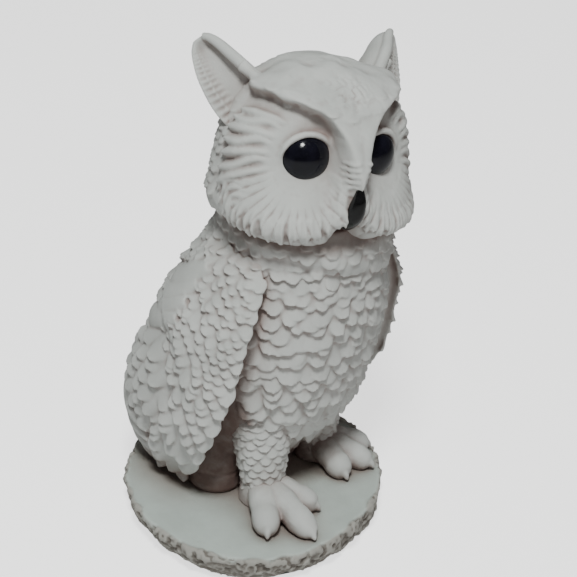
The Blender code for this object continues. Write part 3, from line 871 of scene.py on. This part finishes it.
def build_ear(side, name):
    """Cupped ear tuft: ridged along its upper edge, barbed in two bands along its outer one."""
    clay = Clay()
    fine = resampled(EAR, 130)
    spine, half, thick = fine[:3].T, fine[3] * EAR_WIDENING[side], fine[4]
    along = unit(np.gradient(spine, axis=0))
    broad = np.asarray(EAR_BROADSIDE)
    wide = unit(broad - dot(along, broad)[:, None] * along)
    front = -np.cross(along, wide)
    turn = np.linspace(0, TAU, 96, endpoint=False)
    s = np.cos(turn)
    back = np.sin(turn) < -1e-9
    rings = []
    for k in range(len(spine)):
        t = k / (len(spine) - 1)
        cup = -0.95 * thick[k] * (1 - np.abs(s) ** 3) * smoothstep((1 - t) / 0.3)
        barbs = np.abs(np.sin(68 * t + 2.5 * s)) * (bump(s, -0.74, 0.13) + 0.8 * bump(s, -0.42, 0.09))
        band = (1.7 * barbs + 1.2 * bump(s, -0.58, 0.04)) * smoothstep((0.93 - t) / 0.2)
        face = np.where(back, (2.2 - 0.7 * t) * thick[k] * np.sin(turn),
                        0.75 * thick[k] * np.abs(np.sin(turn)) ** 0.5 + cup + band)
        rings.append(spine[k] + np.outer(half[k] * s, wide[k]) + np.outer(face, front[k]))
    rings = np.array(rings)
    rings[..., 0] *= side
    clay.rings(rings)
    crest = (spine + wide * (half * 0.86)[:, None] + front * (thick * 0.45)[:, None]) * [side, 1, 1]
    clay.tube(crest[3:-3:3], (3.4 * (1 - np.linspace(0, 1, len(crest)) ** 2 * 0.5))[3:-3:3])
    return skin(placed(clay), name, VOXELS["ear"])


# ---- legs, feet, tail -----------------------------------------------------------------------

def leg_surface(side):
    ankle, top = np.array(ANKLES[side]), np.array(LEG_TOPS[side])
    radii = Rows(((18, 10.5), (30, 10.8), (48, 13.8), (70, 16.5), (84, 16)))

    def surface(angle, height):
        t = (height - 30.0) / 40.0
        middle = ankle[None] + (top - ankle)[None] * np.clip(t, 0, 2)[..., None].reshape(-1, 1)
        radius = radii(height)[0]
        return np.stack([middle[:, 0] - radius * np.sin(angle), middle[:, 1] - radius * np.cos(angle),
                         height + 0 * angle], -1)

    return Sheet(surface)


def build_leg(side, name):
    clay = Clay()
    surface = leg_surface(side)
    clay.rings(grid_rings(surface, np.linspace(29, 80, 34), 64))
    height, row = 31.0, 0
    while height < 79:
        width, step = 6.6 + 0.08 * (height - 31), 4.2
        radius = 11.5 + 7 * (height - 30) / 45
        count = int(round(TAU * radius / (0.84 * width)))
        angle = staggered(count, row, 0.1)
        level = height + rng.normal(0, 0.5, count)
        feathers(clay, surface, angle, level, width * rng.normal(1, 0.08, count), step * 2.1,
                 rng.normal(2.3, 0.2, count), (0, 0, -1), rng.normal(0, 0.12, count), sink=1.0)
        height += step
        row += 1
    return skin(clay, name, VOXELS["leg"])


def build_foot(side, name):
    clay = Clay()
    ankle = np.array(ANKLES[side])
    clay.ball((ankle[0], ankle[1] - 2, 22.5), 12.5, (1, 1.05, 0.72), 14, 24)
    clay.rings(np.array([[(ankle[0] + r * math.cos(a), ankle[1] + r * math.sin(a), z)
                          for a in np.linspace(0, TAU, 32, endpoint=False)]
                         for r, z in ((12.5, 17), (12.2, 24), (11.3, 30.5))]))
    for tip in TOES[side]:
        end = np.array(tip)
        t = np.linspace(0, 1, 24)
        middle = ankle + (end - ankle) * t[:, None]
        height = 27.5 - 5.6 * t**1.4
        radius = 9.0 - 2.6 * t + 0.7 * bump(t, 0.42, 0.09) + 0.9 * bump(t, 0.74, 0.08)
        radius = np.where(t > 0.84, radius * np.sqrt(np.clip(1 - ((t - 0.84) / 0.17) ** 2, 0.02, 1)), radius)
        clay.tube(np.column_stack([middle, height]), radius, 0.95, 20)
        way = unit((end - ankle)[None])[0]
        claw_t = np.linspace(0, 1, 10)
        claw = end - way * 6.5 + way * (8.6 * claw_t)[:, None]
        rise = 23.5 + 0.8 * np.sin(math.pi * claw_t) - 3.8 * claw_t**2
        clay.tube(np.column_stack([claw, rise]), 3.0 * np.sqrt(np.clip(1 - claw_t**2.2, 0.05, 1)), 1.1, 14)
    return skin(clay, name, VOXELS["foot"], 3, lambda p: 0.18 * noise(p, 3.0, 3), floor=SOLE)


tail_rows = Rows(((20, 70, 21, 6), (40, 70, 23, 6.5), (60, 68, 23, 7), (80, 65, 20, 8), (100, 59, 15, 7)))


def tail_surface(u, height):
    rows = tail_rows(height)
    angle = math.pi / 2 + (u - 0.5) * 2.2
    return np.stack([MID_X - rows[1] * np.cos(angle), rows[0] + rows[2] * np.sin(angle), height + 0 * u], -1)


TAIL_SHEET = Sheet(tail_surface)


def build_tail():
    clay = Clay()
    rows = Rows(((SOLE, 67, 20, 9), (40, 67, 22, 10), (60, 65, 22, 11), (80, 61, 19, 12), (100, 55, 14, 11)))
    turn = np.linspace(0, TAU, 60, endpoint=False)
    rings = []
    for height in np.linspace(SOLE, 98, 40):
        middle, half, deep = rows(height)
        rings.append(np.stack([MID_X + half * np.cos(turn), middle + deep * np.sin(turn),
                               height + 0 * turn], -1))
    clay.rings(np.array(rings))
    for k, u in enumerate((0.5, 0.34, 0.66, 0.18, 0.82)):
        lean = (u - 0.5) * 0.25
        path = [(u - lean, 104), (u, 76), (u + lean * 0.3, 48), (u + lean, 25 + 3.0 * k)]
        lifts = (1.0, 2.6 - 0.3 * k, 3.0 - 0.3 * k, 3.2 - 0.3 * k)
        strip(clay, TAIL_SHEET, path, (6, 10, 11.5, 10), lifts, rows=40, cols=9, ridge=0.45)
    for row, height in enumerate((74, 82, 90, 98)):
        u = np.linspace(0.1, 0.9, 4) + 0.1 * (row % 2)
        feathers(clay, TAIL_SHEET, u, np.full(4, float(height)), 12.0, 17.0, 2.0, (0, 0, -1))
    return skin(clay, "tail_skin", VOXELS["tail"], 2, floor=SOLE)


# ---- plinth ---------------------------------------------------------------------------------

def rim_radius(angle):
    """Radius of the broken rim, on a smooth closed curve through the driving radii."""
    step = TAU / len(RIM_RADII)
    turn = np.mod(angle, TAU) / step
    i = turn.astype(int)
    t = turn - i
    a, b, c, d = (np.array(RIM_RADII)[(i + k) % len(RIM_RADII)] for k in (-1, 0, 1, 2))
    return b + 0.5 * t * (c - a + t * (2 * a - 5 * b + 4 * c - d + t * (3 * (b - c) + d - a)))


def rim_ring(height, inset, drawn_in):
    angle = np.linspace(0, TAU, 240, endpoint=False)
    mean, swing, most = UNDERCUT
    radius = rim_radius(angle) - inset - drawn_in * (mean + swing * np.cos(angle - math.radians(most)))
    return np.stack([radius * np.cos(angle), radius * np.sin(angle), np.full_like(angle, height)], -1)


def rockiness(points):
    """How much a place on the plinth is broken rock: all of its side, and the very edge of its top."""
    radius = np.hypot(points[:, 0], points[:, 1])
    angle = np.arctan2(points[:, 1], points[:, 0])
    inside = rim_radius(angle) - radius + 1.6 * noise(points * [1, 1, 0], 7.0, 21)
    return np.maximum(smoothstep((3.0 - inside) / 2.0), smoothstep((PLINTH_TOP - 2.2 - points[:, 2]) / 1.2))


def carve_plinth(points):
    """Broken, pitted rock round the side, and a faintly hand-smoothed top."""
    lumps = 1.5 * noise(points, 11.0, 31) + 1.5 * (0.45 - np.abs(noise(points, 6.5, 32)))
    grit = 1.0 * (0.4 - np.abs(noise(points, 3.2, 33))) + 0.45 * noise(points, 1.7, 34)
    pits = -1.5 * smoothstep((noise(points, 3.6, 35) - 0.28) / 0.25)
    top = 0.35 * noise(points, 23.0, 36) + 0.07 * noise(points, 5.0, 37)
    rock = rockiness(points)
    return rock * (lumps + grit + pits) + (1 - rock) * top


def build_plinth():
    clay = Clay()
    foot = PLINTH_FOOT
    clay.rings(np.array([rim_ring(foot, 0, 1.0), rim_ring(foot + 4, 0, 0.6), rim_ring(foot + 9, 0, 0.2),
                         rim_ring(PLINTH_TOP - 3.5, 0, 0), rim_ring(PLINTH_TOP - 0.4, 0.8, 0)]))
    piece = skin(clay, "plinth_skin", VOXELS["plinth"], carve=carve_plinth, floor=foot)
    add_attribute(piece.data, "rock", rockiness(read_mesh(piece.data)[0]))
    return piece


# ---- eyes and beak --------------------------------------------------------------------------

def plain_piece(clay, name):
    mesh = clay.mesh(name)
    mesh.polygons.foreach_set("use_smooth", np.ones(len(mesh.polygons), bool))
    return new_object(name, mesh)


def build_eye(side, name):
    """Domed glass-like eye, flat behind where it beds in the plaster."""
    clay = Clay()
    centre, look = eye_frame(side)
    across = unit(np.cross(look, (0, 0, 1)))
    above = np.cross(across, look)
    polar = np.linspace(0.02, math.radians(88), 36)
    turn = np.linspace(0, TAU, 72, endpoint=False)
    radius = EYE_RADIUS * np.sin(polar)[:, None, None]
    ahead = EYE_RADIUS * (np.cos(polar) - 0.02 * np.cos(polar) ** 6)[:, None, None]
    rings = centre + look * ahead + radius * (np.cos(turn)[:, None] * across + np.sin(turn)[:, None] * above)
    clay.rings(rings[::-side] if side > 0 else rings)
    return plain_piece(placed(clay), name)


def build_beak():
    rows = resampled(BEAK, 44)
    spine = np.stack([0 * rows[0], rows[0] - 2.0, rows[1]], -1)
    along = unit(np.gradient(spine, axis=0))
    left = np.array([1.0, 0, 0])
    turn = np.linspace(0, TAU, 36, endpoint=False)
    rings = []
    for k, middle in enumerate(spine):
        front = np.cross(along[k], left)
        ridge = 1 + 0.16 * bump(np.sin(turn), 1, 0.3)
        rings.append(middle + np.outer(rows[2][k] * np.cos(turn), left)
                     + np.outer(rows[3][k] * np.sin(turn) * ridge, front))
    clay = Clay()
    clay.rings(np.array(rings))
    return skin(placed(clay), "beak_skin", VOXELS["beak"], 3)


# ---- materials ------------------------------------------------------------------------------

class Finish:
    """A material's node tree and a few short ways to build it."""

    def __init__(self, name):
        self.material = bpy.data.materials.new(name)
        self.material.use_nodes = True
        self.nodes = self.material.node_tree.nodes
        self.links = self.material.node_tree.links
        self.shader = next(n for n in self.nodes if n.type == "BSDF_PRINCIPLED")
        self.place = self.nodes.new("ShaderNodeTexCoord").outputs["Object"]

    def set(self, **values):
        for name, value in values.items():
            self.shader.inputs[name.replace("_", " ")].default_value = value

    def attribute(self, name):
        node = self.nodes.new("ShaderNodeAttribute")
        node.attribute_name = name
        return node.outputs["Fac"]

    def shelter(self, distance):
        """How open a place is within the given distance in millimetres: 0 deep in a recess, 1 in the open."""
        node = self.nodes.new("ShaderNodeAmbientOcclusion")
        node.samples = 6
        node.inputs["Distance"].default_value = distance * MM
        return node.outputs["AO"]

    def noise(self, size, detail=3.0, roughness=0.5):
        """Noise with features of about the given size, in millimetres."""
        node = self.nodes.new("ShaderNodeTexNoise")
        node.inputs["Scale"].default_value = 1000.0 / size
        node.inputs["Detail"].default_value = detail
        node.inputs["Roughness"].default_value = roughness
        self.links.new(self.place, node.inputs["Vector"])
        return node.outputs["Fac"]

    def span(self, value, low, high, to_low=0.0, to_high=1.0):
        node = self.nodes.new("ShaderNodeMapRange")
        for name, number in (("From Min", low), ("From Max", high), ("To Min", to_low), ("To Max", to_high)):
            node.inputs[name].default_value = number
        self.links.new(value, node.inputs["Value"])
        return node.outputs["Result"]

    def mix(self, factor, first, second, blend="MIX"):
        node = self.nodes.new("ShaderNodeMix")
        node.data_type = "RGBA"
        node.blend_type = blend
        for value, socket in ((factor, node.inputs[0]), (first, node.inputs[6]), (second, node.inputs[7])):
            if isinstance(value, bpy.types.NodeSocket):
                self.links.new(value, socket)
            else:
                socket.default_value = (*value, 1.0) if isinstance(value, tuple) else value
        return node.outputs[2]

    def product(self, first, second):
        """Product of two values."""
        node = self.nodes.new("ShaderNodeMath")
        node.operation = "MULTIPLY"
        self.links.new(first, node.inputs[0])
        self.links.new(second, node.inputs[1])
        return node.outputs["Value"]

    def bump(self, height, distance, before=None):
        """Bump of the given depth in millimetres."""
        node = self.nodes.new("ShaderNodeBump")
        node.inputs["Distance"].default_value = distance * MM
        self.links.new(height, node.inputs["Height"])
        if before is not None:
            self.links.new(before, node.inputs["Normal"])
        return node.outputs["Normal"]

    def wire(self, **sockets):
        for name, value in sockets.items():
            self.links.new(value, self.shader.inputs[name.replace("_", " ")])


PLASTER_LIT = (0.70, 0.72, 0.70)
PLASTER_DULL = (0.60, 0.62, 0.60)
PLASTER_RIDGE_LIGHTER = (0.76, 0.77, 0.745)
# painted shade: the brown that the skin's hollows are darkened towards
PLASTER_CREVICE_SHADE = (0.40, 0.345, 0.33)
# painted shade: the dark brown that closed-in recesses are darkened towards
PLASTER_RECESS_SHADE = (0.30, 0.225, 0.205)
# painted shadow: the dark brown laid on the torso's shaded flanks, throat and low front
PLASTER_PAINTED_SHADOW = (0.165, 0.110, 0.095)
ROCK_LIGHT = (0.30, 0.285, 0.26)
ROCK_DARK = (0.19, 0.17, 0.15)
ROCK_RIDGE = (0.44, 0.43, 0.395)
# painted shade: a darker, greener cast for the plinth's top, standing in for the light falling off there
PLINTH_FALLOFF_TINT = (0.88, 0.96, 0.93)
RECESS_SHADE_REACH = 26.0         # millimetres


def plaster(name, rocky=False):
    """Matt cast plaster: faintly blotched and lighter on its ridges, with painted shade: brown in its hollows
    and recesses.
    """
    made = Finish(name)
    hollow = made.attribute("hollow")
    blotch = made.span(made.noise(24.0, 3.0), 0.35, 0.65)
    colour = made.mix(blotch, PLASTER_LIT, PLASTER_DULL)
    # lighter on the skin's ridges
    ridge_lighter = made.span(hollow, -0.25, -0.95, 0.0, 0.5)
    colour = made.mix(ridge_lighter, colour, PLASTER_RIDGE_LIGHTER)
    # painted shade: the skin darkened to brown in its hollows, where shade falls
    painted_crevice_shade = made.span(hollow, 0.05, 0.80, 0.0, 0.8)
    colour = made.mix(painted_crevice_shade, colour, PLASTER_CREVICE_SHADE)
    # painted shade: recesses darkened by how closed in they are, standing in for the shade that falls there
    painted_recess_shade = made.span(made.shelter(RECESS_SHADE_REACH), 0.92, 0.35, 0.0, 0.95)
    colour = made.mix(painted_recess_shade, colour, PLASTER_RECESS_SHADE)
    # painted shade: the torso's shaded places, broken up by noise
    patchy = made.span(made.noise(7.0, 4.0), 0.25, 0.60, 0.72, 0.97)
    colour = made.mix(made.product(made.attribute("painted_shade"), patchy), colour, PLASTER_PAINTED_SHADOW)
    if rocky:
        stone = made.mix(made.span(made.noise(5.0, 5.0, 0.65), 0.36, 0.62), ROCK_DARK, ROCK_LIGHT)
        # painted shade: the rock darker in its pits and hollows
        stone = made.mix(made.span(hollow, 0.1, 0.8), stone, ROCK_DARK)
        stone = made.mix(made.span(hollow, -0.15, -0.75), stone, ROCK_RIDGE)
        # painted shade: the plinth's top made darker and greener than the owl
        colour = made.mix(1.0, colour, PLINTH_FALLOFF_TINT, "MULTIPLY")
        colour = made.mix(made.attribute("rock"), colour, stone)
    grain = made.noise(0.9, 4.0, 0.6)
    made.wire(Base_Color=colour, Roughness=made.span(made.noise(3.0, 3.0), 0.3, 0.7, 0.68, 0.82),
              Normal=made.bump(grain, 0.10, made.bump(made.noise(4.5, 3.0), 0.22)))
    made.set(Specular_IOR_Level=0.32)
    return made.material


def gloss_black(name, low, high):
    """Brushed black gloss paint, with faint waves and a few duller specks."""
    made = Finish(name)
    colour = made.mix(made.span(made.noise(7.0, 2.0), 0.3, 0.7), low, high)
    made.wire(Base_Color=colour, Roughness=made.span(made.noise(1.6, 4.0), 0.45, 0.8, 0.12, 0.34),
              Normal=made.bump(made.noise(3.0, 2.0), 0.06))
    made.set(Specular_IOR_Level=0.25, Coat_Weight=0.12, Coat_Roughness=0.06)
    return made.material


def felt(name):
    made = Finish(name)
    fibres = made.noise(0.5, 6.0, 0.8)
    colour = made.mix(made.span(fibres, 0.3, 0.7), (0.10, 0.13, 0.11), (0.19, 0.23, 0.20))
    made.wire(Base_Color=colour, Roughness=made.span(fibres, 0.2, 0.8, 0.88, 1.0),
              Normal=made.bump(fibres, 0.3))
    made.set(Sheen_Weight=0.4, Sheen_Roughness=0.5)
    return made.material


def cork(name):
    made = Finish(name)
    grains = made.noise(1.6, 4.0, 0.7)
    colour = made.mix(made.span(grains, 0.38, 0.6), (0.24, 0.13, 0.06), (0.52, 0.34, 0.19))
    made.wire(Base_Color=colour, Roughness=made.span(grains, 0.3, 0.7, 0.7, 0.9),
              Normal=made.bump(grains, 0.25))
    return made.material


def steel_wire(name):
    made = Finish(name)
    draw = made.noise(2.2, 4.0, 0.6)
    colour = made.mix(made.span(draw, 0.4, 0.7), (0.46, 0.45, 0.43), (0.30, 0.24, 0.19))
    made.wire(Base_Color=colour, Roughness=made.span(draw, 0.3, 0.7, 0.3, 0.6))
    made.set(Metallic=1.0)
    return made.material


def repaint(node, material):
    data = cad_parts[node].data
    data.materials.clear()
    data.materials.append(material)


# ---- studio ---------------------------------------------------------------------------------

FLOOR_HALF = 6.0             # metres
FLOOR_GLOW = 1.6             # keeps the paper pale without lighting the owl from below
WORLD_STRENGTH = 0.09


def build_floor():
    mesh = bpy.data.meshes.new("floor")
    corners = [(x * FLOOR_HALF, y * FLOOR_HALF, 0) for x, y in ((-1, -1), (1, -1), (1, 1), (-1, 1))]
    mesh.from_pydata(corners, [], [(0, 1, 2, 3)])
    floor = new_object("floor", mesh)
    made = Finish("floor_paper")
    made.wire(Base_Color=made.mix(made.noise(300.0, 2.0), (0.90, 0.90, 0.90), (0.88, 0.88, 0.88)))
    made.set(Roughness=0.9, Specular_IOR_Level=0.1, Emission_Color=(1.0, 1.0, 1.0, 1.0))
    seen = made.nodes.new("ShaderNodeLightPath").outputs["Is Camera Ray"]
    made.wire(Emission_Strength=made.span(seen, 0.0, 1.0, 0.0, FLOOR_GLOW))
    mesh.materials.append(made.material)


def area_light(name, place, aim, size, power, colour, glossy=True):
    data = bpy.data.lights.new(name, "AREA")
    data.shape = "DISK"
    data.size, data.energy, data.color = size, power, colour
    light = new_object(name, data)
    light.location = place
    light.rotation_euler = (Vector(aim) - Vector(place)).to_track_quat("-Z", "Y").to_euler()
    light.visible_glossy = glossy


def build_lights():
    middle = (0.01, 0.0, 0.13)
    area_light("key", (-0.66, -0.42, 1.55), middle, 0.34, 22.0, (0.97, 1.0, 0.975))
    area_light("fill", (-0.10, -1.60, 0.70), middle, 1.2, 2.4, (1.0, 0.93, 0.91), glossy=False)
    world = bpy.data.worlds.new("studio")
    world.use_nodes = True
    background = world.node_tree.nodes["Background"]
    background.inputs["Color"].default_value = (1.0, 0.95, 0.94, 1.0)
    background.inputs["Strength"].default_value = WORLD_STRENGTH
    bpy.context.scene.world = world


CAMERA_PLACE = (-0.58756, -0.49302, 0.557)
CAMERA_AIM = (0.0023, -0.0068, 0.1416)
CAMERA_ROLL = 6.0
CAMERA_LENS = 102.5


def build_camera():
    data = bpy.data.cameras.new("camera")
    data.lens = CAMERA_LENS
    data.clip_start, data.clip_end = 0.05, 50.0
    camera = new_object("camera", data)
    turn = (Vector(CAMERA_AIM) - Vector(CAMERA_PLACE)).to_track_quat("-Z", "Y")
    camera.matrix_world = (Matrix.Translation(CAMERA_PLACE) @ turn.to_matrix().to_4x4()
                           @ Matrix.Rotation(math.radians(CAMERA_ROLL), 4, "Z"))
    bpy.context.scene.camera = camera


# ---- the owl --------------------------------------------------------------------------------

def build_owl():
    white = plaster("cast_plaster")
    black = gloss_black("eye_gloss", (0.002, 0.002, 0.004), (0.007, 0.007, 0.014))
    jet = gloss_black("beak_gloss", (0.004, 0.004, 0.004), (0.010, 0.010, 0.011))
    place(build_plinth(), plaster("plinth_plaster", rocky=True), "white_plaster", "plinth")
    for piece in build_torso():
        place(piece, white, "white_plaster", "torso")
    place(build_head(), white, "white_plaster", "head")
    place(build_tail(), white, "white_plaster", "tail")
    place(build_beak(), jet, "gloss_black", "beak")
    for side, name in ((-1, "right"), (1, "left")):
        place(build_wing(side, f"{name}_wing_skin"), white, "white_plaster", f"{name}_wing")
        place(build_ear(side, f"{name}_ear_skin"), white, "white_plaster", f"{name}_ear_tuft")
        place(build_leg(side, f"{name}_leg_skin"), white, "white_plaster", f"{name}_leg")
        place(build_foot(side, f"{name}_foot_skin"), white, "white_plaster", f"{name}_foot")
        place(build_eye(side, f"{name}_eye_dome"), black, "gloss_black", f"{name}_eye")
    repaint("neck_collar", white)
    repaint("felt_sheet", felt("felt_fibres"))
    repaint("vent_plug", cork("cork_grains"))
    for name in ("right_leg_rod", "left_leg_rod"):
        repaint(name, steel_wire("drawn_wire"))


build_camera()
build_lights()
build_floor()
build_owl()
bpy.context.view_layer.update()
